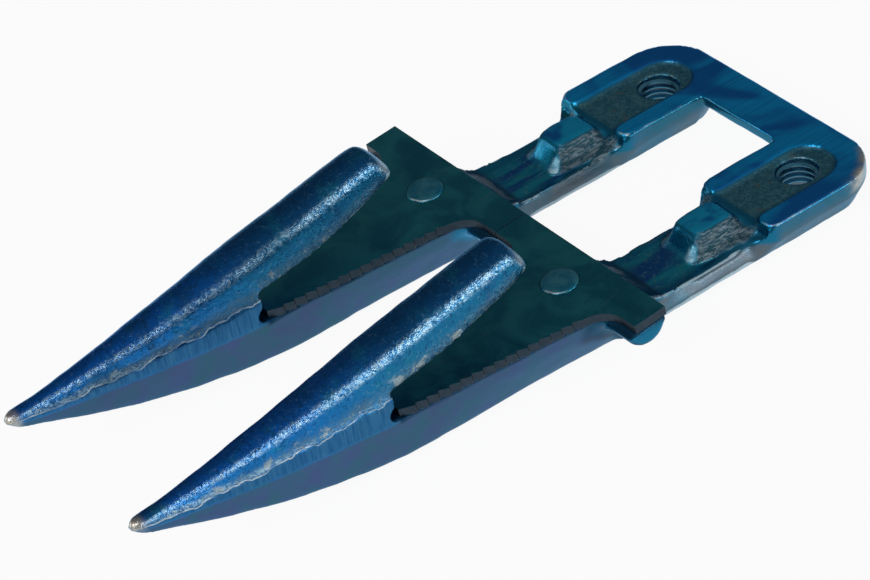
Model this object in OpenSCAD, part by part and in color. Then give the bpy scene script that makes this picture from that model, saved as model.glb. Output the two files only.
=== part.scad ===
// Mower knife guard: a forged double finger with two riveted ledger plates.
// Millimetres. +Z is up, along the tapped holes; the fingers point along -Y.
// The origin is midway between the tapped holes, on the underside of the pads.

/* [Layout] */
// distance between the two finger axes, and between the tapped holes
pitch = 50.8; // [48:0.2:62]
// from the tapped holes forward to the rear edge of the ledger plates
plate_back = 59.2; // [56:0.2:66]
// height of the ledger plates' rear edge above the seat face
plate_up = 6.8; // [5.5:0.1:8]
// upward slope of the fingers from the seat face, in degrees
rise = 4.6; // [3.5:0.1:6]

/* [Finger] */
// from the plates' rear edge forward to the finger tip
finger_len = 125.4; // [110:0.2:152]
// from the plates' rear edge forward to the root of the knife slot
throat_y = 60.4; // [50:0.2:64]
// radius of the blunt tip
tip_r = 1.7; // [1.2:0.1:2.2]
// height of the tip's middle above the plates
tip_z = 9.8; // [8:0.1:12]
// depth of the finger's belly below the plates
belly = 16.4; // [14.5:0.1:19]
// half the width of the belly's flat under the slot root
belly_half = 2.9; // [2.2:0.1:4]
// half the width of the belly's flat under the cross bar
belly_root = 7.8; // [6.6:0.1:9]
// how far the trimmed flash line stands out of the forging
flash = 0.55; // [0.3:0.05:0.9]
// radius of the relief groove at the slot root
relief_r = 1.7; // [1.2:0.1:2.2]

/* [Lip] */
// gap from the plates' rear edge forward to the lip's free end
lip_back = 18.8; // [16:0.2:24]
// length of the slanted bevel over the lip's free end
lip_bevel = 4.8; // [4:0.2:7]
// slot height at its root, from the plates to the lip
slot_front = 6.2; // [5.6:0.1:7.6]
// slot height at the lip's free end
slot_rear = 14; // [11:0.1:15]
// height of the lip's top above the plates, at the slot root
lip_top_front = 17.5; // [16:0.1:21]
// height of the lip's top above the plates, at the free end
lip_top_rear = 22.2; // [20:0.1:25]
// half the lip's width at its free end
lip_half_rear = 5.4; // [4.4:0.1:6]

/* [Ledger plates] */
// thickness of a ledger plate
plate_t = 2.2; // [1.8:0.1:3]
// half the width of a plate at its front end
plate_half = 6.4; // [5.6:0.1:7.4]
// angle of each cutting edge from the finger axis, in degrees
edge_angle = 10; // [8:0.2:11.5]
// depth of the plates' wide rear bar
bar_d = 8.7; // [7.6:0.1:10]
// radius of the fillet between cutting edge and rear bar
plate_fillet = 6.4; // [5:0.1:7.5]
// width of the seam between the two plates
seam = 0.2; // [0.1:0.05:0.6]
// gap between a plate's front end and the slot root
plate_gap = 0.7; // [0.3:0.1:1.2]
// number of teeth along each cutting edge
teeth = 16; // [10:1:20]
// depth of a tooth
tooth_d = 0.75; // [0.5:0.05:1.1]
// depth of the tooth's step along the edge, as a share of its length
tooth_step = 0.22; // [0.1:0.02:0.3]

/* [Cross bar] */
// radius of the cross bar's round underside
bar_r = 5.3; // [4.6:0.1:5.6]
// gap between the plates and the ledge of the cross bar's ends
bar_step = 0.8; // [0.4:0.1:1.4]

/* [Rivets] */
// from the plates' rear edge forward to the rivets
rivet_y = 9.9; // [9:0.1:12]
// diameter of the flush rivet head
rivet_head = 9; // [8:0.1:10]
// diameter of the rivet's shank
rivet_d = 5.6; // [5:0.1:6.8]
// height of the rivet head above the plate
rivet_up = 0.5; // [0.2:0.05:0.8]
// clearance round the rivet in its hole
rivet_gap = 0.05; // [0.02:0.01:0.1]

/* [Shank] */
// half the neck's width on its outer side
neck_out = 9.9; // [9.4:0.1:12]
// half the neck's width on its inner side
neck_in = 8.7; // [8:0.1:10]
// depth of the neck's top edges below the seat face
neck_low = 4.5; // [3.8:0.1:5.2]
// depth of the shallow trough along the neck's top
trough = 0.8; // [0.4:0.1:1.2]
// half the width of the boss's sloping flanks at their foot
boss_foot = 6.8; // [5.6:0.1:7.4]
// width of the boss's flat top
boss_w = 8.4; // [7:0.1:10]
// length of the boss's flat top
boss_l = 10.6; // [9:0.1:12]
// from the tapped holes forward to the boss's rear edge
boss_y = 22.4; // [21.4:0.1:25]
// height of the boss above the seat face
boss_up = 0.9; // [0.4:0.1:1.6]

/* [Pads] */
// pad width beyond the tapped hole on its outer side
pad_out = 13.9; // [13:0.1:16]
// pad width beyond the tapped hole on its inner side
pad_in = 11.9; // [11:0.1:13]
// thickness of the pads
pad_t = 9.5; // [8.5:0.1:11]
// height of the upright trimmed band round the pads
band = 4.2; // [3.4:0.1:5.2]
// how far the pads draw in below the band on their inner side
draw_in = 2.3; // [1.5:0.1:3]
// how far the pads draw in below the band on their outer side
draw_out = 2.9; // [2:0.1:3.6]
// from the tapped holes forward to the noses of the pad's arms
nose_y = 19.6; // [18.6:0.1:21]
// half the width of the pad's pocket
pocket_half = 7.15; // [6.5:0.05:7.8]
// depth of the pad's pocket
pocket_d = 1.3; // [0.8:0.1:2]
// from the tapped holes back to the rear end of the pocket
pocket_end = 9.2; // [8.4:0.1:10]
// thickness of the rear bar that joins the pads
rear_t = 3; // [2.4:0.1:5]
// from the tapped holes back to the front of the rear bar
rear_front = 3.5; // [2:0.1:5]
// from the tapped holes back to the rear edge
rear_back = 15.9; // [14:0.1:18]

/* [Tapped holes] */
// diameter of the tapped holes at the thread crests
tap_d = 8.5; // [6.8:0.1:10.2]
// diameter of the countersunk mouth
mouth_d = 10.2; // [9:0.1:11.4]

/* [Hidden] */
$fn = 48;
half = pitch / 2;
// centre and half width of a pad, measured from its tapped hole
pad_mid = (pad_out - pad_in) / 2;
pad_half = (pad_out + pad_in) / 2;
pad_cy = rear_back - pad_half;
pocket_mid = pad_mid * 0.6;
// cutting edge of a plate, from its front end to the start of the fillet
edge_t = tan(edge_angle);
edge_front = throat_y - plate_gap;
fillet_x = plate_half + (edge_front - bar_d - plate_fillet) * edge_t + plate_fillet / cos(edge_angle);
fillet_y = bar_d + plate_fillet;
edge_end = fillet_y - plate_fillet * sin(edge_angle);
tooth_l = (edge_front - edge_end - 1.2) / teeth;
lip_len = throat_y - lip_back;
nose_len = finger_len - throat_y;
rivet_len = belly + 1.7;

// shape functions; q runs from the tip to the slot root, r from there back
function q_of(y) = min(1, (y + finger_len) / nose_len);
function r_of(y) = max(0, (y + throat_y) / throat_y);
function ease(q) = q * (1.26 - 0.26 * q);
function full(q) = q * (1.5 - 0.5 * q);
function fall(q) = 1 - (1 - q) * (1 - q);
function smooth(t) = t <= 0 ? 0 : t >= 1 ? 1 : t * t * (3 - 2 * t);
function mix(a, b, t) = a + (b - a) * t;
// tip rounding: 0 at the very end, 1 a little way in
function blunt(y) = sqrt(max(0.12, 1 - pow(max(0, 1 - (y + finger_len) / (1.6 * tip_r)), 2)));

// half width of the plate outline with a fillet of radius f
function arc_x(y, f, x0) = x0 + f - sqrt(max(0, f * f - pow(max(0, y + bar_d + f), 2)));
function edge_x(y) = plate_half + (edge_front + y) * edge_t;
function web_x(y, f) = y < -bar_d - f ? edge_x(y)
    : min(edge_x(-bar_d - f) + arc_x(min(y, -bar_d - 0.01), f, 0) + (y + bar_d + f) * edge_t * 0.3, half - 3);

// heights and half widths of a finger section at y
function top_z(y) = y < -throat_y
    ? mix(tip_z + tip_r, lip_top_front, pow(q_of(y), 1.6))
    : mix(lip_top_front, lip_top_rear, (y + throat_y) / lip_len);
function flash_z(y) = y < -throat_y ? mix(tip_z + 0.1, slot_front - 1.6, fall(q_of(y))) : slot_front - 1.6;
function trim_z(y) = y < -throat_y ? mix(tip_z - 0.15, -plate_t, ease(q_of(y))) : -plate_t;
// the belly sweeps down from the tip and levels out behind the slot root
belly_y = throat_y * 0.73;
function sweep(y) = 1 - pow(1 - (y + finger_len) / (finger_len - belly_y), 1.78);
function belly_z(y) = y < -belly_y
    ? mix(tip_z - 0.76 * tip_r, -belly - 0.4, sweep(y))
    : mix(-belly - 0.4, -belly - 1.8, (y + belly_y) / belly_y);
function side_x(y) = y < -throat_y
    ? mix(tip_r, plate_half, full(q_of(y)))
    : web_x(y, plate_fillet) - tooth_d * smooth((y + throat_y) / 3);
function lip_x(y) = y < -throat_y
    ? mix(tip_r, plate_half, full(q_of(y))) - flash * smooth(q_of(y) * 6)
    : mix(plate_half - flash, lip_half_rear, (y + throat_y) / lip_len);
function belly_x(y) = y < -throat_y
    ? mix(tip_r * 0.5, belly_half, q_of(y))
    : mix(belly_half, belly_root, r_of(y) * (0.3 + 0.7 * r_of(y)));
// the lip's free end: a slanted bevel, rounded where it starts
function lip_end(y) = 1 - pow(max(0, (y + lip_back + lip_bevel) / (lip_bevel + 0.2)), 1.5) * 0.9;
function lip_side(y) = 1 - 0.12 * pow(min(1, max(0, (y + lip_back + 2) / 2.2)), 2);

// right half of a finger section, from the top down to the belly
function half_section(y) =
    let (b = blunt(y), e = lip_end(y), zt = top_z(y), zf = flash_z(y), zm = trim_z(y), zb = belly_z(y))
    let (xl = lip_x(y) * lip_side(y), xs = side_x(y), xb = belly_x(y))
    let (zl = y > -lip_back + 1 ? zf + 1.6 : mix(slot_rear - 0.6, zt, e))
    let (zk = mix(zm, zb, 0.33), xk = y < -throat_y ? mix(xs, xb, 0.3) : mix(web_x(y, 2.6), xb, 0.3))
    let (c = tip_z, zc = max(zf + 0.9, zl - xl))
    [for (p = concat(
        [for (a = [90:-9:9]) [xl * pow(cos(a), 0.92), zc + (zl - zc) * pow(sin(a), 0.92)]],
        [[xl, zf + 0.5], [xs, zf], [xs, zm], [xk, zk], [xb + min(0.9, 0.3 * xb), mix(zm, zb, 0.93)], [xb * 0.92, zb]]))
        [p[0] * b, c + (p[1] - c) * b]];
function finger_section(y) =
    let (h = half_section(y), n = len(h))
    concat([for (p = h) [p[0], y, p[1]]], [for (i = [n - 1:-1:1]) [-h[i][0], y, h[i][1]]]);
finger_ys = [for (d = [0, 0.35, 1, 2.2, 5, 9.5, 15, 22, 30, 38, 46, 54, 60, 64.6]) -finger_len + d * nose_len / 65];
lip_ys = [for (t = [0, 0.2, 0.4, 0.6, 0.8]) mix(-throat_y + 0.4, -lip_back - lip_bevel, t)];
end_ys = [for (t = [1, 0.84, 0.66, 0.48, 0.3, 0.14, -0.04]) -lip_back - t * lip_bevel];
root_ys = [for (t = [0.2, 0.4, 0.6, 0.8, 0.93, 1]) mix(-edge_end, -bar_d - 0.2, t)];
all_ys = concat(finger_ys, lip_ys, end_ys, root_ys, [-3]);

// neck section: outer side positive; the pads' foot runs straight on under the neck
foot_out = pad_out - draw_out;
foot_in = pad_in - draw_in;
function root_up(y) = (neck_low + plate_up - plate_t - 1.6) * pow(1 - smooth((y + plate_back + 1) / 15), 1.4);
function step_up(y) = smooth((y + nose_y + 4.6) / 6);
function edge_z(y) = -neck_low + root_up(y) + (neck_low - pocket_d + 0.3) * step_up(y);
function mid_z(y) = -neck_low + root_up(y) + (neck_low - pocket_d + 0.3) * smooth((y + nose_y + 11) / 11);
function flare(y) = pow(1 - min(1, max(0, (y + plate_back) / 17)), 2.4);
function tuck(y) = 1.8 * smooth((-y - plate_back - 0.6) / 2.6);
function out_x(y) = neck_out + 2.6 * flare(y) - tuck(y) + (pad_out - neck_out - 0.05) * step_up(y);
function in_x(y) = neck_in + 3.6 * flare(y) - tuck(y) + (pad_in - neck_in - 0.05) * step_up(y);
function neck_section(y) =
    let (ze = edge_z(y), zm = mid_z(y), o = out_x(y), i = in_x(y), g = trough * (1 - smooth((y + nose_y + 11) / 8)))
    let (zb = -pad_t, m = max(-band - 0.6, mix(ze, zb, 0.6)), zq = mix(ze, zm, 0.4) - g)
    [for (p = [[o, m], [foot_out + 0.3, zb + 0.8], [foot_out - 0.4, zb], [-foot_in + 0.4, zb], [-foot_in - 0.3, zb + 0.8],
        [-i, m], [-i, ze], [-i + 1, mix(ze, zm, 0.15) - g * 0.6], [-i + 2.6, zq], [-3.4, zm - g * 0.6],
        [0, zm - g * 0.4], [3.4, zm - g * 0.6], [o - 2.6, zq], [o - 1, mix(ze, zm, 0.15) - g * 0.6], [o, ze]])
        [p[0], y, p[1]]];
neck_ys = concat([for (d = [-3.2, -0.6, 1.2, 3, 5, 7.4, 10.4, 13.6, 19, 25]) -plate_back + d],
    [for (d = [-9.4, -7.4, -5.4, -4, -2.6, -1.2, 0.2, 1.6, 3.4]) -nose_y + d]);

module loft(rows) {
    m = len(rows);
    n = len(rows[0]);
    sides = [for (j = [0:m - 2]) for (i = [0:n - 1])
        let (a = j * n + i, b = j * n + (i + 1) % n)
        each [[a, a + n, b], [b, a + n, b + n]]];
    caps = [for (i = [1:n - 2]) each [[0, i, i + 1], [(m - 1) * n, (m - 1) * n + i + 1, (m - 1) * n + i]]];
    polyhedron(points = [for (r = rows) each r], faces = concat(sides, caps), convexity = 6);
}

// frame of the ledger plates: origin at their rear edge, on their top
module on_plates() {
    translate([0, -plate_back, pad_t + plate_up])
        rotate([rise, 0, 0])
            children();
}

// frame of one pad: origin on its tapped hole, on the ground seat face
module on_seat(side) {
    translate([side * half, 0, pad_t])
        mirror([side < 0 ? 1 : 0, 0, 0])
            children();
}

module along_x(w) {
    translate([-w / 2, 0, 0])
        rotate([90, 0, 90])
            linear_extrude(w)
                children();
}

// one forged finger with its lip, belly and root
module finger() {
    difference() {
        loft([for (y = all_ys) finger_section(y)]);
        along_x(pitch + 10)
            polygon(concat([[-throat_y, -plate_t]],
                [for (t = [0:0.125:1]) [mix(-throat_y, -lip_back, t), mix(slot_front, slot_rear, pow(t, 2.1))]],
                [[-lip_back, lip_top_rear + 8], [8, lip_top_rear + 8], [8, -plate_t]]));
        translate([0, -throat_y - 0.2, -plate_t + relief_r])
            rotate([0, 90, 0])
                cylinder(r = relief_r, h = pitch, center = true);
    }
}

// cross bar with a round underside and a narrower ledge below the plates
module cross_bar() {
    along_x(2 * pitch)
        union() {
            translate([-bar_d, -plate_t - bar_step - 0.5])
                square([bar_d - 0.4, bar_step + 0.5]);
            intersection() {
                translate([-bar_r, -plate_t - bar_step + 0.6])
                    circle(bar_r);
                translate([-2 * bar_r, -plate_t - bar_step - bar_r])
                    square([2 * bar_r, bar_r]);
            }
        }
}

// plan of a pad: straight sides and a round rear end
module pad_plan(grow, front) {
    translate([pad_mid, pad_cy])
        circle(pad_half + grow, $fn = 64);
    translate([pad_mid - pad_half - grow, -front])
        square([2 * (pad_half + grow), front + pad_cy]);
}

module pad() {
    translate([0, 0, -band])
        linear_extrude(band) {
            pad_plan(0, nose_y - 2.6);
            nose_plan(pocket_mid + pocket_half, pad_out);
            nose_plan(-pad_in, pocket_mid - pocket_half);
        }
    translate([pad_mid, pad_cy, -pad_t])
        cylinder(r1 = pad_half - draw_out, r2 = pad_half, h = pad_t - band + 0.01, $fn = 64);
    rotate([90, 0, 0])
        translate([0, 0, -pad_cy])
            linear_extrude(pad_cy + nose_y - 2.6)
                polygon([[-foot_in, -pad_t], [foot_out, -pad_t], [pad_out, -band], [-pad_in, -band]]);
}

// rounded nose of one arm
module nose_plan(x0, x1) {
    r = (x1 - x0) / 2;
    polygon([for (a = [0:15:345]) [x0 + r + r * cos(a), -nose_y + 2.6 + 2.6 * sin(a)]]);
}

// pocket round the tapped hole, open to the front
module pocket() {
    translate([pocket_mid, 0, -pocket_d])
        linear_extrude(pocket_d + 5) {
            translate([0, pocket_end - pocket_half])
                circle(pocket_half);
            translate([-pocket_half, -nose_y - 1])
                square([2 * pocket_half, nose_y + 1 + pocket_end - pocket_half]);
        }
}

// boss that stands on the neck ahead of the pocket
module boss() {
    hull() {
        translate([-boss_w / 2 + 1.6, -boss_y - boss_l + 1.6, 0])
            linear_extrude(boss_up)
                offset(r = 1.6, $fn = 32)
                    square([boss_w - 3.2, boss_l - 3.2]);
        translate([0, -boss_y, -neck_low - 0.4])
            linear_extrude(0.4)
                offset(r = 1.6, $fn = 32)
                    polygon([for (p = [[-0.62, -1.18], [0.62, -1.18], [1, 0], [-1, 0]])
                        [p[0] * boss_foot, p[1] * boss_l]]);
    }
}

module shank() {
    loft([for (y = neck_ys) neck_section(y)]);
    boss();
    pad();
}

// flat bar across the back
module rear_bar() {
    translate([-half - pad_mid, rear_front, pad_t - rear_t])
        cube([pitch + 2 * pad_mid, rear_back - rear_front, rear_t]);
}

module tapped_hole() {
    translate([0, 0, -pad_t - 1])
        cylinder(d = tap_d, h = pad_t + 2);
    translate([0, 0, -pocket_d - (mouth_d - tap_d) / 2])
        cylinder(d1 = tap_d, d2 = mouth_d + 2, h = (mouth_d - tap_d) / 2 + 1);
}

// rivet outline: low rounded head, countersink, shank and peened foot
module rivet(gap) {
    r = rivet_head / 2 + gap;
    d = rivet_d / 2 + gap;
    rotate_extrude()
        polygon([[0, rivet_up], [r * 0.6, rivet_up], [r * 0.84, rivet_up * 0.86], [r * 0.95, rivet_up * 0.5],
            [r, 0], [r, -0.4], [d, -0.4 - r + d],
            [d, -rivet_len + 1], [d + 1, -rivet_len], [0, -rivet_len]]);
}

module at_rivet(side) {
    on_plates()
        translate([side * half, -rivet_y, 0])
            children();
}

// ledger plate: serrated cutting edges, fillets and a rear bar one pitch wide
function tooth(i) = let (y = -edge_front + 1.2 + i * tooth_l, e = y + tooth_l * (1 - tooth_step))
    [[edge_x(y) - tooth_d, y], [edge_x(e), e]];
function plate_side() = concat(
    [[plate_half - 1.2, -edge_front]],
    [for (i = [0:teeth - 1]) each tooth(i)],
    [for (a = [180 - edge_angle:-12:100]) [fillet_x + plate_fillet * cos(a), -fillet_y + plate_fillet * sin(a)]],
    [[fillet_x, -bar_d], [half - seam / 2, -bar_d], [half - seam / 2, 0]]);

module ledger_plate(side) {
    pts = plate_side();
    n = len(pts);
    difference() {
        on_plates()
            translate([side * half, 0, -plate_t])
                linear_extrude(plate_t)
                    polygon(concat(pts, [for (i = [n - 1:-1:0]) [-pts[i][0], pts[i][1]]]));
        at_rivet(side)
            rivet(rivet_gap);
    }
}

module guard_body() {
    color([0.1, 0.3, 0.55])
        difference() {
            union() {
                on_plates() {
                    translate([half, 0, 0])
                        finger();
                    translate([-half, 0, 0])
                        finger();
                    cross_bar();
                }
                on_seat(1)
                    shank();
                on_seat(-1)
                    shank();
                rear_bar();
            }
            on_seat(1) {
                pocket();
                tapped_hole();
            }
            on_seat(-1) {
                pocket();
                tapped_hole();
            }
            at_rivet(1)
                rivet(rivet_gap);
            at_rivet(-1)
                rivet(rivet_gap);
        }
}

module ledger_plate_left() {
    color([0.1, 0.2, 0.22])
        ledger_plate(-1);
}

module ledger_plate_right() {
    color([0.1, 0.2, 0.22])
        ledger_plate(1);
}

module rivet_left() {
    color([0.3, 0.45, 0.55])
        at_rivet(-1)
            rivet(0);
}

module rivet_right() {
    color([0.3, 0.45, 0.55])
        at_rivet(1)
            rivet(0);
}

guard_body();
ledger_plate_left();
ledger_plate_right();
rivet_left();
rivet_right();
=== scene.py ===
import math
import bpy
import numpy as np
from mathutils import Matrix, Quaternion, Vector


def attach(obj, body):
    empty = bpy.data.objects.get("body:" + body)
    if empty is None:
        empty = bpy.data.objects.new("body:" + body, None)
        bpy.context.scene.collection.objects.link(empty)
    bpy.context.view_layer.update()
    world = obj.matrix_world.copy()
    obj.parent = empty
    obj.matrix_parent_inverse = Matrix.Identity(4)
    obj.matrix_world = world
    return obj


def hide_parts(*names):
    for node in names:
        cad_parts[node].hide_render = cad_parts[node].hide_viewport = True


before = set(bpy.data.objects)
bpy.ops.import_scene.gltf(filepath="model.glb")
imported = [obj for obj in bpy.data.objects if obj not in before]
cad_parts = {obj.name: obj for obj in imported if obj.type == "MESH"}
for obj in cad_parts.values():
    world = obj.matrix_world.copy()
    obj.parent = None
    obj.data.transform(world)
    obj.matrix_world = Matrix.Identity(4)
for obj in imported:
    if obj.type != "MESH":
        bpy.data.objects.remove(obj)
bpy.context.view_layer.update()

# Studio: the guard lies on a pale table, on its bellies and on the rear of its pads,
# so the table leans a little against the part's own axes. A low strip of light stands
# at the right, a small low box at the front left, and a higher box in front.
scene = bpy.context.scene
scene.view_settings.view_transform = "Standard"
belly_drop = 0.00421
rest_span = 0.1192
table_radius = 3.0
table_place = (0, 0.0115, -0.0003)
table_white = (0.9, 0.9, 0.9, 1)
glow_white = (1, 1, 1, 1)
glow_share = 0.93
glow_near = 0.3
glow_far = 0.9
glow_rim = 0.8
room_white = (0.97, 0.98, 1.0, 1)
room_left = 0.17
room_right = 0.42
room_low = 0.35
part_middle = Vector((0, -0.085, 0.01))


class Nodes:
    # short ways to add nodes to a tree and to join them
    def __init__(self, tree):
        self.tree = tree

    def new(self, kind):
        return self.tree.nodes.new("ShaderNode" + kind)

    def feed(self, value, target):
        # another node's output is linked, a number or colour is set
        if isinstance(value, bpy.types.NodeSocket):
            self.tree.links.new(value, target)
        else:
            target.default_value = value

    def combine(self, operation, a, b):
        node = self.new("Math")
        node.operation = operation
        self.feed(a, node.inputs[0])
        self.feed(b, node.inputs[1])
        return node.outputs[0]

    def times(self, a, b):
        return self.combine("MULTIPLY", a, b)

    def plus(self, a, b):
        return self.combine("ADD", a, b)

    def ramp(self, value, low, high, start=0.0, end=1.0):
        # a smooth change from start to end while the value goes from low to high
        node = self.new("MapRange")
        node.interpolation_type = "SMOOTHSTEP"
        limits = {"From Min": low, "From Max": high, "To Min": start, "To Max": end}
        for socket, limit in limits.items():
            node.inputs[socket].default_value = limit
        self.feed(value, node.inputs["Value"])
        return node.outputs[0]


bpy.ops.object.select_all(action="DESELECT")
bpy.ops.mesh.primitive_circle_add(vertices=96, radius=table_radius, fill_type="NGON")
table = bpy.context.object
table.name = "table"
table.rotation_euler = (math.atan2(belly_drop, rest_span), 0, 0)
table.location = table_place

table_paint = bpy.data.materials.new("pale_table")
table_paint.use_nodes = True
pale = Nodes(table_paint.node_tree)
pale.tree.nodes.clear()
matt = pale.new("BsdfDiffuse")
pale.feed(table_white, matt.inputs["Color"])
glow = pale.new("Emission")
pale.feed(glow_white, glow.inputs["Color"])
from_centre = pale.new("VectorMath")
from_centre.operation = "LENGTH"
pale.feed(pale.new("TexCoord").outputs["Object"], from_centre.inputs[0])
fade = pale.ramp(from_centre.outputs["Value"], glow_near, glow_far, 1.0, glow_rim)
pale.feed(fade, glow.inputs["Strength"])
path = pale.new("LightPath")
seen = pale.combine("MAXIMUM", path.outputs["Is Camera Ray"], path.outputs["Is Glossy Ray"])
seen = pale.combine("MAXIMUM", seen, path.outputs["Is Transmission Ray"])
both = pale.new("MixShader")
pale.feed(pale.times(seen, glow_share), both.inputs[0])
pale.feed(matt.outputs[0], both.inputs[1])
pale.feed(glow.outputs[0], both.inputs[2])
pale.feed(both.outputs[0], pale.new("OutputMaterial").inputs[0])
table.data.materials.append(table_paint)

world = bpy.data.worlds.new("dim_room")
scene.world = world
world.use_nodes = True
room = Nodes(world.node_tree)
toward = room.new("SeparateXYZ")
room.feed(room.new("TexCoord").outputs["Generated"], toward.inputs[0])
to_the_right = room.ramp(toward.outputs["X"], -0.9, 1.0, room_left, room_right)
upwards = room.ramp(toward.outputs["Z"], -0.02, 0.4, room_low, 1.0)
background = room.tree.nodes["Background"]
room.feed(room.times(to_the_right, upwards), background.inputs["Strength"])
room.feed(room_white, background.inputs["Color"])


def toward_bearing(bearing):
    # level direction at a bearing round the part, in degrees from its tips to its right
    angle = math.radians(bearing)
    return Vector((math.sin(angle), -math.cos(angle), 0))


def soft_box(name, bearing, distance, height, size, power):
    # a rectangular lamp aimed at the middle of the part
    lamp = bpy.data.lights.new(name, "AREA")
    lamp.shape = "RECTANGLE"
    lamp.size, lamp.size_y = size
    lamp.energy = power
    box = bpy.data.objects.new(name, lamp)
    scene.collection.objects.link(box)
    away = toward_bearing(bearing) * distance + Vector((0, 0, height))
    box.location = part_middle + away
    box.rotation_euler = (-away).to_track_quat("-Z", "Y").to_euler()


soft_box("right_box", bearing=112, distance=1.0, height=0.12, size=(0.9, 0.11), power=3.4)
soft_box("front_box", bearing=-42, distance=1.0, height=0.16, size=(0.6, 0.3), power=1.7)
soft_box("over_box", bearing=19, distance=0.9, height=0.68, size=(0.6, 0.5), power=4.5)

camera_bearing = 59.6896
camera_rise = math.radians(36.9478)
camera_roll = math.radians(-10.4807)
camera_distance = 0.88694
camera_aim = Vector((-0.0001, -0.08612, 0.00936))
camera = bpy.data.cameras.new("photo_camera")
camera.lens = 162.19
camera.sensor_width = 36
camera.clip_start = 0.05
camera.clip_end = 10
camera_object = bpy.data.objects.new("photo_camera", camera)
scene.collection.objects.link(camera_object)
back = toward_bearing(camera_bearing) * math.cos(camera_rise) + Vector((0, 0, math.sin(camera_rise)))
turn = back.to_track_quat("Z", "Y") @ Quaternion((0, 0, 1), camera_roll)
camera_object.matrix_world = Matrix.LocRotScale(camera_aim + back * camera_distance, turn, None)
scene.camera = camera_object

# Forged body: two fingers, cross bar, shanks, pads and rear bar drop forged in one
# piece from steel, trimmed along the flash line, ground on the seat, tapped, and
# dipped in a thin blue lacquer that lets the metal shine through.
voxel = 0.00062
bore_radius = 0.00505
bore_depth = 0.02
bore_middle = 0.004
# the forging's own sizes, in millimetres, and the lean of its plates
mm = 1000
half_pitch = 25.4
seat_height = 9.5
plate_rear = 59.2
plate_height = 16.3
plate_lean = math.radians(4.6)
finger_length = 125.4
throat = 60.4
lip_end = 18.8
slot_front = 6.2
slot_rear = 14.0
flash_tip = 9.9
flash_root = 5.0
trim_tip = 9.65
trim_root = -2.2
pocket_depth = 1.3
bore_places = [(side * half_pitch / mm, 0, bore_middle) for side in (1, -1)]


def fresh_copy(node, name):
    # a merged copy of a CAD node's mesh in an object of its own, alone selected
    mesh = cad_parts[node].data.copy()
    mesh.name = name
    piece = bpy.data.objects.new(name, mesh)
    scene.collection.objects.link(piece)
    bpy.ops.object.select_all(action="DESELECT")
    piece.select_set(True)
    bpy.context.view_layer.objects.active = piece
    bpy.ops.object.mode_set(mode="EDIT")
    bpy.ops.mesh.select_all(action="SELECT")
    bpy.ops.mesh.remove_doubles(threshold=2e-6)
    bpy.ops.object.mode_set(mode="OBJECT")
    mesh.materials.clear()
    return piece


def apply_last(piece):
    bpy.ops.object.select_all(action="DESELECT")
    piece.select_set(True)
    bpy.context.view_layer.objects.active = piece
    bpy.ops.object.modifier_apply(modifier=piece.modifiers[-1].name)


body = fresh_copy("guard_body", "forged_body")
for place in bore_places:
    bpy.ops.object.select_all(action="DESELECT")
    bpy.ops.mesh.primitive_cylinder_add(vertices=64, radius=bore_radius, depth=bore_depth, location=place)
    drill = bpy.context.object
    cut = body.modifiers.new("drill", "BOOLEAN")
    cut.operation = "DIFFERENCE"
    cut.object = drill
    apply_last(body)
    bpy.data.objects.remove(drill, do_unlink=True)

skin = body.modifiers.new("skin", "REMESH")
skin.mode = "VOXEL"
skin.voxel_size = voxel
skin.use_smooth_shade = True
apply_last(body)
soften = body.modifiers.new("soften", "SMOOTH")
soften.factor = 0.5
soften.iterations = 4
apply_last(body)


def rows_of(piece, field):
    # a row of three numbers for each point: its place, "co", or its "normal"
    flat = np.empty(len(piece.data.vertices) * 3)
    piece.data.vertices.foreach_get(field, flat)
    return flat.reshape(-1, 3)


def rises(value, low, high):
    # 0 below low, 1 above high, smooth between
    share = np.clip((value - low) / (high - low), 0, 1)
    return share * share * (3 - 2 * share)


def falls(value, low, high):
    # 1 below low, 0 above high, smooth between
    return rises(-value, -high, -low)


def plate_frame(points):
    # millimetres across, along and above the ledger plates, from their rear edge
    level = points[:, 1] * mm + plate_rear
    up = points[:, 2] * mm - plate_height
    along = level * math.cos(plate_lean) + up * math.sin(plate_lean)
    above = up * math.cos(plate_lean) - level * math.sin(plate_lean)
    return points[:, 0] * mm, along, above


# where each point lies: on the plates' axes, on the seat's axes, and which way it faces
points = rows_of(body, "co")
normals = rows_of(body, "normal")
x, y, z = plate_frame(points)
seat_y = points[:, 1] * mm
seat_z = points[:, 2] * mm - seat_height
face_x, face_y, face_z = normals.T
flatness = np.abs(face_z)
side = np.sign(x)
to_right = x - half_pitch * side
outward = np.abs(x) - half_pitch
off_axis = np.abs(outward)
before_throat = y < -throat
sideways = rises(np.abs(face_x), 0.25, 0.6)

# flash line and trim line of the noses, by the share of the way from tip to throat; the
# flash line wavers, in waves with a height, a rate, a start and a shift between fingers
flash_waves = ((0.28, 0.37, 2, 0), (0.26, 0.83, 1, 1), (0.12, 1.9, 0, 0.5), (0.06, 3.7, 0, 0))
flash_sink = 0.2
fin_drop = 0.05
trim_bow = 0.26
slot_curve = 2.1
from_tip = np.clip((y + finger_length) / (finger_length - throat), 0, 1)
flash_z = flash_tip + (flash_root - flash_tip) * (1 - (1 - from_tip) ** 2)
trim_z = trim_tip + (trim_root - trim_tip) * from_tip * (1 + trim_bow - trim_bow * from_tip)
waver = sum(rise * np.sin(rate * y + start + shift * side) for rise, rate, start, shift in flash_waves)
flash_z = flash_z + (waver - flash_sink) * rises(from_tip, 0.05, 0.25)
above_line = z - flash_z + fin_drop
along_slot = np.clip((y + throat) / (throat - lip_end), 0, 1)
slot_z = slot_front + (slot_rear - slot_front) * along_slot ** slot_curve

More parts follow.
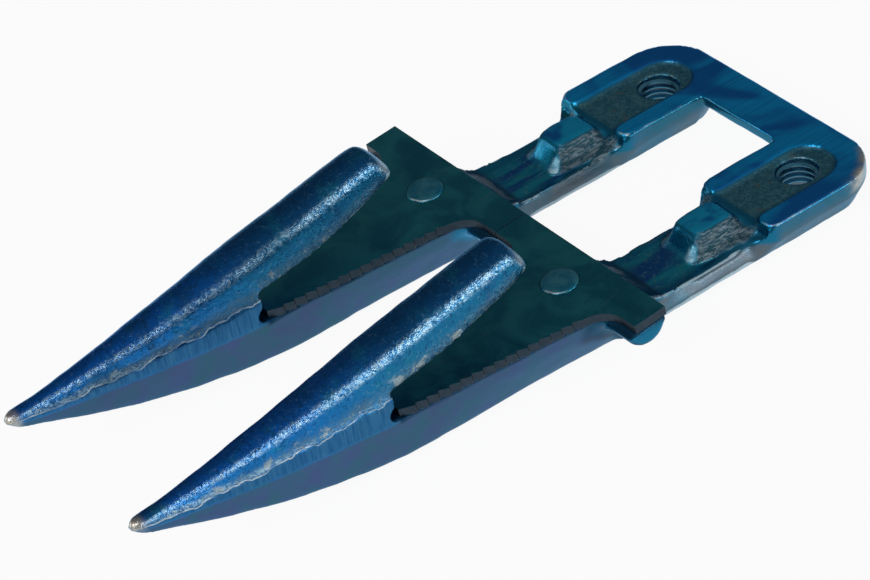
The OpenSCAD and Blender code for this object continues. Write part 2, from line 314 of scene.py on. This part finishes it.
# zones of the fingers: trimmed band, keel under it, pitted flanks, lips and tips
finger = falls(y, -1, 2)
nose = falls(y, -61, -59.5)
band = nose * rises(z, trim_z - 0.5, trim_z + 0.3) * falls(z, flash_z - 0.3, flash_z + 0.2)
in_ear = rises(off_axis, 11, 13) * rises(y, -15, -11)
keel_top = np.where(before_throat, trim_z, -2.4)
keel = finger * (1 - in_ear) * falls(z, keel_top - 0.7, keel_top)
nose_flank = nose * rises(z, flash_z - 0.1, flash_z + 0.4)
nose_flank = nose_flank * falls(z, flash_z + 1.2 * from_tip, flash_z + 4.2 * from_tip + 0.8)
lip_flank = falls(y, -26, -20) * rises(y, -62, -58) * rises(z, slot_z - 0.8, slot_z)
lip_flank = lip_flank * falls(z, slot_z + 1.5, slot_z + 4.5)
flank = np.maximum(nose_flank, lip_flank) * sideways
by_flash = nose * falls(np.abs(z - flash_z), 1.4, 2.2) * sideways
fin = nose * falls(np.abs(above_line), 0.06, 0.3) * sideways
lip_foot = np.where(before_throat, flash_z, slot_z + 0.4)
lip_skin = falls(y, -20, -17) * rises(z, lip_foot, lip_foot + 1.2) * rises(y, -122, -116)
trim_top = np.where(before_throat, flash_z - 1.0, -3.2)
trim_skin = finger * falls(z, trim_top - 1.5, trim_top) * rises(y, -122, -116)
grain_low = np.where(before_throat, 7.0, slot_z - 1)
grain_full = np.where(before_throat, 9.0, slot_z)
grainy = falls(y, -21, -18) * rises(z, grain_low, grain_full)
# painted highlight: pale flecks on the lips' shoulders, where the faces turn toward the light at the right
shoulder_glint = falls(y, -22, -18) * rises(np.abs(face_x), 0.72, 0.88) * rises(face_z, 0.1, 0.26)
shoulder_glint = shoulder_glint * rises(z, 5.0, 6.5)
# painted shade: the upward tops of the lips and noses are painted darker
crown_shade = falls(y, -22, -17) * rises(face_z, 0.25, 0.75) * rises(z, 5.0, 7.0)

# zones of the pads: ground seat, pocket floors, upright and lower walls
ground = rises(seat_z, -0.6, -0.25) * rises(seat_y, -20.5, -19) * rises(face_z, 0.6, 0.9)
pocket = falls(np.abs(seat_z + pocket_depth), 0.3, 0.9) * rises(seat_y, -19, -18)
pocket = pocket * (1 - ground) * rises(face_z, 0.3, 0.8)
wall = rises(seat_y, -19, -16) * falls(seat_z, -0.8, -0.2) * falls(flatness, 0.6, 0.8)
low_wall = rises(seat_y, -60, -50) * falls(seat_z, -5.2, -4.3) * falls(flatness, 0.55, 0.75)
dull_wall = np.maximum(wall * np.maximum(0.3, falls(seat_z, -5.5, -1.0)), low_wall)

# zones of the shanks and of the bosses on them
hollow_depth = 2.2
on_neck = rises(seat_y, -57, -53) * falls(seat_y, -19, -16) * falls(seat_z, -3, -1.5)
neck_top = on_neck * falls(off_axis, 6, 8) * rises(face_z, 0.4, 0.8)
boss_skin = rises(seat_y, -41, -38) * falls(seat_y, -21, -19.5) * rises(seat_z, -6.2, -5.2)
boss_foot = boss_skin * falls(seat_z, -2.6, -0.6)
boss_hollow = boss_skin * rises(off_axis, 3.6, 5.0) * falls(np.abs(seat_z + hollow_depth), 0.2, 2.2)
boss_hollow = boss_hollow * rises(face_z, 0.2, 0.4)
boss_flank = boss_skin * rises(off_axis, 3.2, 4.6) * falls(off_axis, 8.4, 10)
boss_flank = boss_flank * falls(face_z, 0.85, 0.97) * rises(face_z, 0.2, 0.4)
# painted highlight: the bosses' front faces are painted lighter, most at their right lower corners
boss_front = boss_skin * falls(seat_y, -35, -33.5) * falls(face_y, -0.55, -0.25)
boss_corner_glint = boss_front * (0.35 + 0.65 * rises(to_right, 1.5, 4.2)) * falls(seat_z, -2.2, -0.2)
boss_top = boss_skin * rises(seat_z, -1.6, -0.4) * rises(face_z, 0.6, 0.9)
neck_skin = rises(seat_y, -57, -53) * falls(seat_y, -18, -15) * falls(seat_z, -1.6, -0.8)
neck_skin = neck_skin * (1 - boss_skin) * falls(off_axis, 7.0, 8.4)

# worn edges with painted highlight, and painted shade in creases, under the plates, at the shank's foot and
# under the ears; creases and edges come from how far each point stands out of its neighbours
ridge_gain = 7.5e3
neck_ridge_gain = 1.2e4
shade_gain = 1e6
crease_rounds = 2
edges = np.empty(len(body.data.edges) * 2, dtype=np.int64)
body.data.edges.foreach_get("vertices", edges)
edges = edges.reshape(-1, 2)
neighbours = np.bincount(edges.ravel(), minlength=len(points))


def mean_of_neighbours(values):
    total = np.zeros_like(values)
    np.add.at(total, edges[:, 0], values[edges[:, 1]])
    np.add.at(total, edges[:, 1], values[edges[:, 0]])
    return (total.T / neighbours).T


crease = -((mean_of_neighbours(points) - points) * normals).sum(1)
for smoothing in range(crease_rounds):
    crease = 0.5 * crease + 0.5 * mean_of_neighbours(crease)
by_plate = finger * rises(y, -62, -60.5) * falls(z, 1, 2)
# edges are painted pale, partly as wear and partly as painted highlight
edge_wear_and_glint = np.clip(crease * ridge_gain, 0, 1) * (1 - 0.85 * np.maximum(nose, by_plate))
# painted highlight: only the neck edges that face right, toward the light, are painted pale
neck_edge_glint = np.clip(crease * neck_ridge_gain, 0, 1) * on_neck * rises(face_x, 0.1, 0.35)
edge_wear_and_glint = np.maximum(edge_wear_and_glint, neck_edge_glint)
# painted shade under the plates, at the shank's foot and under the ears
shade_under_plate = finger * rises(y, -61, -60) * rises(z, -3.6, -2.8) * falls(z, -0.8, -0.2)
shade_at_shank_foot = rises(seat_y, -64, -62) * falls(seat_y, -48, -44) * rises(face_y, 0.1, 0.4)
shade_at_shank_foot = shade_at_shank_foot * rises(face_z, -0.2, 0.1)
shade_under_ear = finger * rises(outward, 9.5, 11.5) * falls(face_z, -0.4, -0.1) * rises(seat_y, -75, -71)
# painted shade: the creases and these places are painted darker
shaded_places = (rises(-crease * shade_gain, 14, 60), 1.8 * shade_under_plate, 1.8 * shade_at_shank_foot, 1.5 * shade_under_ear)
painted_shade = np.maximum.reduce(shaded_places)

# bare metal on the tips, on the lips' free ends and on the right pad's rear corner
corner_middle = (26.4, 3)
bare_tip = falls(y, -124, -121.5)
bare_lip = rises(y, -23, -19.5) * rises(z, 14, 16) * rises(face_y, 0.15, 0.5)
bare_corner = rises(x, 29, 33) * rises(seat_y, 2, 8) * rises(seat_z, -4.5, -2.5)
from_corner = np.hypot(x - corner_middle[0], seat_y - corner_middle[1])
bare_corner = bare_corner * rises(from_corner, 10.5, 12.6)
bare = np.maximum.reduce((1.2 * bare_tip, 0.9 * bare_lip, 1.2 * bare_corner))


def weigh(piece, name, weights):
    group = piece.vertex_groups.new(name=name)
    for i in np.nonzero(weights > 0.01)[0]:
        group.add([int(i)], float(weights[i]), "REPLACE")
    return group.name


def even_out(piece, name, weights, rounds):
    ease = piece.modifiers.new(name, "SMOOTH")
    ease.vertex_group = weigh(piece, name, weights)
    ease.factor = 0.5
    ease.iterations = rounds
    apply_last(piece)


def roughen(piece, name, weights, grain, depth, height, middle):
    # pushes the surface out by a cloud pattern of this grain
    cloud = bpy.data.textures.new(name, "CLOUDS")
    cloud.noise_scale = grain
    cloud.noise_depth = depth
    push = piece.modifiers.new(name, "DISPLACE")
    push.texture = cloud
    push.texture_coords = "LOCAL"
    push.strength = height
    push.mid_level = middle
    push.vertex_group = weigh(piece, name, weights)
    apply_last(piece)


even_out(body, "lip_skin", lip_skin, rounds=24)
even_out(body, "trim_skin", trim_skin, rounds=24)
even_out(body, "boss_foot", boss_foot, rounds=14)
even_out(body, "boss_skin", boss_skin, rounds=10)
even_out(body, "neck_skin", neck_skin, rounds=6)
as_forged = (1 - ground) * (1 - pocket * 0.5)
pitted = np.maximum.reduce((flank, 0.3 * low_wall, 0.7 * boss_flank))
roughen(body, "boss_hollow", boss_hollow, grain=0.02, depth=0, height=-0.0017, middle=0.0)
roughen(body, "forge_waves", as_forged, grain=0.011, depth=2, height=0.0005, middle=0.5)
roughen(body, "trim_step", band * sideways, grain=0.02, depth=0, height=0.0002, middle=0.0)
roughen(body, "flash_teeth", fin, grain=0.0018, depth=1, height=0.0004, middle=0.3)
roughen(body, "scale_pits", pitted, grain=0.0016, depth=2, height=0.00024, middle=0.5)
body.vertex_groups.clear()


def paint_zones(piece, name, red, green, blue):
    layer = piece.data.color_attributes.new(name, "FLOAT_COLOR", "POINT")
    rows = np.ones((len(piece.data.vertices), 4))
    rows[:, 0], rows[:, 1], rows[:, 2] = red, green, blue
    layer.data.foreach_set("color", rows.ravel())


flash_middle = 0.5
flash_reach = 8
flash_height = np.clip(flash_middle + above_line / flash_reach, 0, 1)
paint_zones(body, "forged_zones", band, keel, flank)
paint_zones(body, "seat_zones", ground, pocket, dull_wall)
paint_zones(body, "wear_glint_and_shade_zones", edge_wear_and_glint, painted_shade, bare)
paint_zones(body, "tone_zones", falls(y, -85, -52), rises(y, -30, 5), boss_flank)
paint_zones(body, "flash_zones", flash_height, by_flash, neck_top)
paint_zones(body, "edge_zones", boss_corner_glint, grainy, wall)
paint_zones(body, "depth_zones", crown_shade, shoulder_glint, boss_top)


class Finish(Nodes):
    # a material with a principled shader, patterned on the piece's own coordinates
    def __init__(self, name):
        self.material = bpy.data.materials.new(name)
        self.material.use_nodes = True
        super().__init__(self.material.node_tree)
        self.shader = self.tree.nodes["Principled BSDF"]
        self.place = self.new("TexCoord").outputs["Object"]

    def set(self, socket, value):
        self.feed(value, self.shader.inputs[socket])

    def noise(self, scale, detail=3.0, rough=0.55, stretch=None, warp=0.0):
        node = self.new("TexNoise")
        node.inputs["Scale"].default_value = scale
        node.inputs["Detail"].default_value = detail
        node.inputs["Roughness"].default_value = rough
        node.inputs["Distortion"].default_value = warp
        source = self.place
        if stretch:
            mapping = self.new("Mapping")
            mapping.inputs["Scale"].default_value = stretch
            self.feed(self.place, mapping.inputs["Vector"])
            source = mapping.outputs[0]
        self.feed(source, node.inputs["Vector"])
        return node.outputs["Fac"]

    def blend(self, amount, a, b):
        # the colour form of the mix node has its colours at sockets 6 and 7
        node = self.new("Mix")
        node.data_type = "RGBA"
        self.feed(amount, node.inputs[0])
        for value, target in ((a, node.inputs[6]), (b, node.inputs[7])):
            self.feed((*value, 1) if isinstance(value, tuple) else value, target)
        return node.outputs[2]

    def mottle(self, pattern, low, high, dark, light):
        # two tones, parted by a pattern
        return self.blend(self.ramp(pattern, low, high), dark, light)

    def mask(self, name):
        node = self.new("Attribute")
        node.attribute_name = name
        return node.outputs["Fac"]

    def zones(self, name):
        node = self.new("Attribute")
        node.attribute_name = name
        split = self.new("SeparateColor")
        self.feed(node.outputs["Color"], split.inputs[0])
        return split.outputs[0], split.outputs[1], split.outputs[2]

    def bump(self, height, distance, strength):
        node = self.new("Bump")
        node.inputs["Distance"].default_value = distance
        node.inputs["Strength"].default_value = strength
        self.feed(height, node.inputs["Height"])
        self.set("Normal", node.outputs[0])
        if self.shader.inputs["Coat Weight"].default_value > 0:
            self.set("Coat Normal", node.outputs[0])


lacquer = Finish("blue_lacquer")
times = lacquer.times
plus = lacquer.plus
ramp = lacquer.ramp
mottle = lacquer.mottle
is_band, is_keel, is_flank = lacquer.zones("forged_zones")
is_ground, is_pocket, is_wall = lacquer.zones("seat_zones")
is_edge_wear_and_glint, is_painted_shade, is_bare = lacquer.zones("wear_glint_and_shade_zones")
is_nose, is_rear, is_boss = lacquer.zones("tone_zones")
above_flash, is_by_flash, is_neck = lacquer.zones("flash_zones")
is_corner_glint, is_lip, is_side = lacquer.zones("edge_zones")
is_crown_shade, is_shoulder_glint, is_top = lacquer.zones("depth_zones")

# patterns of the forged skin, of the cutting marks and of the lacquer's run
patches = lacquer.noise(70, 3, 0.6, warp=0.6)
clouds = lacquer.noise(160, 4, 0.6)
grain = lacquer.noise(1100, 3, 0.6)
fine = lacquer.noise(2600, 2, 0.6)
flakes = lacquer.noise(330, 3, 0.65, warp=0.4)
violet = lacquer.noise(40, 2, 0.5, warp=1.2)
crackle = lacquer.noise(900, 2, 0.7, warp=1.2)
upright = lacquer.noise(1, 3, 0.65, stretch=(1700, 1700, 90))
along = lacquer.noise(1, 3, 0.6, stretch=(1800, 45, 1800))
wrinkle = lacquer.noise(1, 4, 0.7, stretch=(1300, 330, 1300), warp=0.8)
streak = lacquer.noise(1, 4, 0.6, stretch=(330, 40, 330), warp=0.5)

# tones of the lacquer and of the bare metal under it, and tones of painted shade and painted highlight
shank_blue = (0.004, 0.14, 0.29)
nose_blue = (0.003, 0.14, 0.42)
# painted shade on the upward tops of lips and noses
lip_crown_shade = (0.0003, 0.06, 0.2)
nose_crown_shade = (0.0003, 0.09, 0.42)
deep_blue = (0.003, 0.07, 0.2)
sea_blue = (0.006, 0.16, 0.25)
rear_blue = (0.004, 0.13, 0.21)
grey_blue = (0.07, 0.16, 0.24)
# pale flakes in the lips' grain, which also serve as painted glints
lip_flake_and_glint = (0.12, 0.26, 0.38)
# painted highlight, as pale flecks on the lips' shoulders
shoulder_glint_fleck = (0.26, 0.4, 0.5)
lip_pit = (0.003, 0.045, 0.12)
trim_dark = (0.008, 0.075, 0.2)
trim_light = (0.024, 0.13, 0.27)
keel_violet = (0.055, 0.07, 0.17)
keel_slate = (0.036, 0.11, 0.16)
pocket_dark = (0.03, 0.14, 0.19)
pocket_light = (0.095, 0.25, 0.29)
pocket_rust = (0.13, 0.14, 0.1)
neck_dark = (0.004, 0.07, 0.28)
neck_light = (0.01, 0.28, 0.38)
neck_fleck = (0.16, 0.34, 0.38)
seat_dark = (0.002, 0.31, 0.72)
seat_light = (0.004, 0.41, 0.88)
seat_groove = (0.002, 0.08, 0.2)
seat_violet = (0.004, 0.1, 0.42)
boss_dark = (0.002, 0.15, 0.5)
boss_light = (0.012, 0.5, 0.85)
wall_blue = (0.06, 0.12, 0.165)
wall_grey = (0.1, 0.125, 0.145)
wrinkle_dark = (0.02, 0.075, 0.1)
wrinkle_light = (0.25, 0.31, 0.34)
chip_grey = (0.3, 0.37, 0.38)
# pale of worn edges, also a painted highlight on them
edge_wear_and_glint_pale = (0.45, 0.62, 0.7)
# painted highlight on the bosses' fronts and corners
corner_glint_blue = (0.02, 0.34, 0.55)
corner_glint_pale = (0.5, 0.74, 0.84)
# pale of the worn flash line, also a painted highlight on it
flash_wear_and_glint_pale = (0.45, 0.55, 0.62)
bare_steel = (0.5, 0.47, 0.4)
# painted shade, laid in creases and under the plates and ears
painted_shade_dark = (0.004, 0.04, 0.09)

# the flash line is thin and ragged; ridges and flash are painted pale in places, partly as wear and partly
# as painted highlight, and the boss corners carry a painted highlight
ragged = times(plus(flakes, -0.5), 0.09)
from_flash = lacquer.combine("ABSOLUTE", plus(plus(above_flash, -flash_middle), ragged), 0.0)
is_fin = times(is_by_flash, ramp(from_flash, 0.026, 0.012))
edge_wear_and_glint_amount = ramp(plus(is_edge_wear_and_glint, times(plus(clouds, -0.5), 0.5)), 0.42, 0.6, 0.0, 0.9)
corner_glint_amount = times(ramp(is_corner_glint, 0.55, 0.95), ramp(clouds, 0.34, 0.6, 0.3, 1.0))
flash_wear_and_glint = times(is_fin, ramp(clouds, 0.36, 0.56, 0.25, 1.0))

keel_pattern = plus(times(clouds, 0.7), times(fine, 0.3))
neck_tone = mottle(streak, 0.4, 0.6, neck_dark, neck_light)
neck_tone = lacquer.blend(ramp(crackle, 0.56, 0.68, 0.0, 0.55), neck_tone, neck_fleck)
seat_tone = mottle(along, 0.3, 0.7, seat_dark, seat_light)
seat_tone = lacquer.blend(ramp(along, 0.36, 0.28, 0.0, 0.4), seat_tone, seat_groove)
layers = (
    (times(is_crown_shade, 0.85), lacquer.blend(is_nose, lip_crown_shade, nose_crown_shade)),
    (ramp(patches, 0.32, 0.5, 0.6, 0.0), deep_blue),
    (ramp(clouds, 0.52, 0.7, 0.0, 0.5), sea_blue),
    (times(is_rear, ramp(patches, 0.38, 0.6, 0.95, 0.5)), rear_blue),
    (times(is_flank, ramp(grain, 0.35, 0.6, 0.35, 0.9)), grey_blue),
    (times(is_lip, ramp(crackle, 0.6, 0.68, 0.0, 0.45)), lip_flake_and_glint),
    (times(is_shoulder_glint, ramp(crackle, 0.44, 0.58, 0.1, 0.75)), shoulder_glint_fleck),
    (times(is_lip, ramp(crackle, 0.45, 0.37, 0.0, 0.65)), lip_pit),
    (times(is_band, 0.9), mottle(upright, 0.35, 0.62, trim_dark, trim_light)),
    (times(is_band, ramp(upright, 0.6, 0.7, 0.0, 0.4)), grey_blue),
    (times(is_keel, 0.88), mottle(keel_pattern, 0.35, 0.65, keel_violet, keel_slate)),
    (times(is_pocket, 0.85), mottle(crackle, 0.38, 0.64, pocket_dark, pocket_light)),
    (times(is_pocket, ramp(flakes, 0.6, 0.68, 0.0, 0.6)), pocket_rust),
    (times(is_neck, 0.85), neck_tone),
    (times(is_ground, 0.9), seat_tone),
    (times(is_top, 0.8), mottle(patches, 0.4, 0.56, boss_dark, boss_light)),
    (times(is_ground, ramp(violet, 0.44, 0.58, 0.0, 0.8)), seat_violet),
    (times(is_wall, ramp(clouds, 0.35, 0.6, 0.75, 0.95)), mottle(patches, 0.35, 0.6, wall_blue, wall_grey)),
    (times(is_boss, 0.9), mottle(wrinkle, 0.42, 0.66, wrinkle_dark, wrinkle_light)),
    (times(is_flank, ramp(flakes, 0.57, 0.63, 0.0, 0.8)), chip_grey),
    (edge_wear_and_glint_amount, edge_wear_and_glint_pale),
    (is_corner_glint, corner_glint_blue),
    (corner_glint_amount, corner_glint_pale),
    (flash_wear_and_glint, flash_wear_and_glint_pale),
    (times(is_bare, ramp(clouds, 0.35, 0.55, 0.15, 0.85)), bare_steel),
    (times(is_painted_shade, 0.5), painted_shade_dark))
colour = lacquer.blend(is_nose, shank_blue, nose_blue)
for amount, tone in layers:
    colour = lacquer.blend(amount, colour, tone)
lacquer.set("Base Color", colour)

# the pale marks of wear and painted highlight and the wrinkled boss flanks shine less like metal
dull_boss = times(is_boss, -0.2)
dull_pale_marks = times(plus(plus(edge_wear_and_glint_amount, flash_wear_and_glint), corner_glint_amount), -0.65)
lacquer.set("Metallic", plus(plus(0.965, dull_boss), dull_pale_marks))
matt_zones = (
    (is_flank, 0.16),
    (is_keel, 0.22),
    (is_pocket, 0.2),
    (is_boss, 0.3),
    (is_band, 0.08),
    (is_wall, 0.12),
    (is_painted_shade, 0.2))
roughness = ramp(clouds, 0.3, 0.7, 0.22, 0.32)
for zone, more in matt_zones:
    roughness = plus(roughness, times(zone, more))
lacquer.set("Roughness", roughness)
lacquer.set("Specular Tint", (0.4, 0.72, 1.0, 1.0))
lacquer.set("Coat Weight", 0.18)
lacquer.set("Coat Roughness", 0.08)

# grain all over, deeper in the rough zones, with the tool marks of seat, band and boss
grainy_zones = (
    (is_flank, 1.1),
    (is_lip, 0.8),
    (is_pocket, 0.6),
    (is_boss, 1.1),
    (is_fin, 0.6),
    (is_side, 0.2))
marks = ((along, is_ground, 0.16), (upright, is_band, 0.3), (wrinkle, is_boss, 1.6))
grain_depth = 0.22
for zone, more in grainy_zones:
    grain_depth = plus(grain_depth, times(zone, more))
relief = times(plus(times(grain, 0.6), times(fine, 0.4)), grain_depth)
for pattern, zone, depth in marks:
    relief = plus(relief, times(times(pattern, zone), depth))
lacquer.bump(relief, distance=0.00028, strength=0.8)
body.data.materials.append(lacquer.material)
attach(body, "root")
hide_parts("guard_body")

# Threads: the two pads are tapped for coarse ten-millimetre bolts, right-handed,
# so each hole shows a bright helical rib cut in the forging's own steel.
thread_pitch = 0.0015
thread_turns = 4
thread_base = 0.0005
thread_root = 0.0052
thread_crest = 0.00428
crest_heights = (0.00062, 0.00084)
root_heights = (0.0001, 0.00136)
rib_profile = (
    (thread_root, root_heights[0]),
    (thread_crest, crest_heights[0]),
    (thread_crest, crest_heights[1]),
    (thread_root, root_heights[1]))
cut_dark = (0.012, 0.12, 0.21)
cut_light = (0.12, 0.32, 0.44)

cut_steel = Finish("tapped_steel")
tint = cut_steel.noise(400, 3)
cut_steel.set("Base Color", cut_steel.blend(tint, cut_dark, cut_light))
cut_steel.set("Metallic", 0.95)
cut_steel.set("Roughness", cut_steel.ramp(tint, 0.3, 0.7, 0.16, 0.28))
cut_steel.bump(cut_steel.noise(1, 2, stretch=(600, 600, 4000)), distance=0.0001, strength=0.3)

for name, place in zip(("thread_rib_right", "thread_rib_left"), bore_places):
    bpy.ops.object.select_all(action="DESELECT")
    bpy.ops.mesh.primitive_circle_add(vertices=len(rib_profile), fill_type="NOTHING")
    rib = bpy.context.object
    rib.name = name
    for point, (radius, height) in zip(rib.data.vertices, rib_profile):
        point.co = (radius, 0, height)
    wind = rib.modifiers.new("wind", "SCREW")
    wind.steps = wind.render_steps = 40
    wind.screw_offset = thread_pitch
    wind.iterations = thread_turns
    wind.use_normal_calculate = True
    apply_last(rib)
    bpy.ops.object.mode_set(mode="EDIT")
    bpy.ops.mesh.select_all(action="SELECT")
    bpy.ops.mesh.fill_holes(sides=8)
    bpy.ops.mesh.select_all(action="SELECT")
    bpy.ops.mesh.normals_make_consistent(inside=False)
    bpy.ops.object.mode_set(mode="OBJECT")
    rib.data.transform(Matrix.Translation((place[0], place[1], thread_base)))
    bpy.ops.object.shade_smooth_by_angle(angle=math.radians(40))
    rib.data.materials.append(cut_steel.material)
    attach(rib, "root")

# Ledger plates: stamped from hard sheet steel with serrated cutting edges, oiled
# almost black under the same lacquer, and riveted to the fingers.
plate_bevel = 0.00014
plate_dark = (0.004, 0.115, 0.17)
plate_light = (0.016, 0.18, 0.22)
score_grey = (0.1, 0.17, 0.18)
speck_grey = (0.12, 0.2, 0.2)
edge_dark = (0.014, 0.029, 0.046)
edge_light = (0.038, 0.058, 0.078)
plate_up = Vector((0, -math.sin(plate_lean), math.cos(plate_lean)))
edge_facing = 0.6

plate_steel = Finish("ledger_steel")
smear = plate_steel.noise(90, 4, 0.6, warp=0.8)
speck = plate_steel.noise(1400, 2, 0.5)
scratch = plate_steel.noise(1, 3, 0.6, stretch=(60, 1500, 300))
score = plate_steel.noise(1, 2, 0.5, stretch=(900, 60, 300), warp=0.5)
top_tone = plate_steel.mottle(smear, 0.38, 0.64, plate_dark, plate_light)
top_tone = plate_steel.blend(plate_steel.ramp(score, 0.66, 0.74, 0, 0.4), top_tone, score_grey)
top_tone = plate_steel.blend(plate_steel.ramp(speck, 0.7, 0.78, 0, 0.5), top_tone, speck_grey)
edge_tone = plate_steel.blend(plate_steel.noise(700, 3), edge_dark, edge_light)
plate_steel.set("Base Color", plate_steel.blend(plate_steel.mask("cut_side"), top_tone, edge_tone))
plate_steel.set("Metallic", 0.93)
plate_steel.set("Roughness", plate_steel.ramp(smear, 0.3, 0.7, 0.34, 0.46))
plate_relief = plate_steel.plus(plate_steel.times(speck, 0.4), plate_steel.times(scratch, 0.4))
plate_steel.bump(plate_relief, distance=0.0001, strength=0.4)


def eased_copy(node, name, bevel_width, bevel_steps, sharp_from, smooth_to):
    # a CAD node's copy with whole flat faces and a narrow bevel on its sharp edges
    piece = fresh_copy(node, name)
    bpy.ops.object.mode_set(mode="EDIT")
    bpy.ops.mesh.select_all(action="SELECT")
    bpy.ops.mesh.dissolve_limited(angle_limit=math.radians(1))
    bpy.ops.object.mode_set(mode="OBJECT")
    ease = piece.modifiers.new("ease", "BEVEL")
    ease.width = bevel_width
    ease.segments = bevel_steps
    ease.limit_method = "ANGLE"
    ease.angle_limit = math.radians(sharp_from)
    apply_last(piece)
    bpy.ops.object.shade_smooth_by_angle(angle=math.radians(smooth_to))
    return piece


# the smoothing angle is less than a bevel's step, so the flat faces shade flat
for node in ("ledger_plate_left", "ledger_plate_right"):
    name = node.replace("ledger_plate", "serrated_plate")
    plate = eased_copy(node, name, plate_bevel, bevel_steps=2, sharp_from=25, smooth_to=20)
    on_edge = [float(abs(face.normal.dot(plate_up)) < edge_facing) for face in plate.data.polygons]
    cut_side = plate.data.attributes.new("cut_side", "FLOAT", "FACE")
    cut_side.data.foreach_set("value", on_edge)
    plate.data.materials.append(plate_steel.material)
    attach(plate, "root")
    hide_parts(node)

# Rivets: soft steel, driven through plate and finger, with a low head that stands a
# little above the plate and a foot peened into the finger's belly.
rivet_bevel = 0.0003
head_dark = (0.01, 0.18, 0.29)
head_light = (0.05, 0.27, 0.36)
rim_glint_pale = (0.6, 0.72, 0.78)
# painted highlight: a pale crescent on the rim of each rivet head, on the side toward the camera
camera_side = np.array((0.86, -0.5))

rivet_steel = Finish("rivet_steel")
cloud = rivet_steel.noise(300, 3, 0.6)
pit = rivet_steel.noise(1500, 2, 0.5)
head_tone = rivet_steel.mottle(cloud, 0.35, 0.65, head_dark, head_light)
# painted highlight on the rim of the rivet head
rim_glint_share = rivet_steel.ramp(rivet_steel.mask("rim_glint"), 0.72, 0.95)
rim_glint_share = rivet_steel.times(rim_glint_share, rivet_steel.ramp(cloud, 0.3, 0.5, 0.3, 1.0))
rivet_steel.set("Base Color", rivet_steel.blend(rim_glint_share, head_tone, rim_glint_pale))
rivet_steel.set("Metallic", 0.92)
rivet_steel.set("Roughness", rivet_steel.ramp(pit, 0.3, 0.7, 0.3, 0.45))
rivet_steel.set("Coat Weight", 0.1)
rivet_steel.set("Coat Roughness", 0.25)
rivet_steel.bump(pit, distance=0.0001, strength=0.4)

for node in ("rivet_left", "rivet_right"):
    name = node.replace("rivet", "set_rivet")
    rivet = eased_copy(node, name, rivet_bevel, bevel_steps=3, sharp_from=20, smooth_to=40)
    rivet_points = rows_of(rivet, "co")
    from_middle = (rivet_points - rivet_points.mean(0))[:, :2]
    reach = np.hypot(from_middle[:, 0], from_middle[:, 1])
    toward_camera_side = from_middle @ camera_side / np.maximum(reach, 1e-6)
    above_plate = plate_frame(rivet_points)[2]
    rim_glint = rises(above_plate, 0.05, 0.2) * rises(reach / reach.max(), 0.75, 0.95)
    rim_glint = rim_glint * rises(toward_camera_side, 0.0, 0.7)
    rim_glint_layer = rivet.data.attributes.new("rim_glint", "FLOAT", "POINT")
    rim_glint_layer.data.foreach_set("value", rim_glint)
    rivet.data.materials.append(rivet_steel.material)
    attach(rivet, "root")
    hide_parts(node)
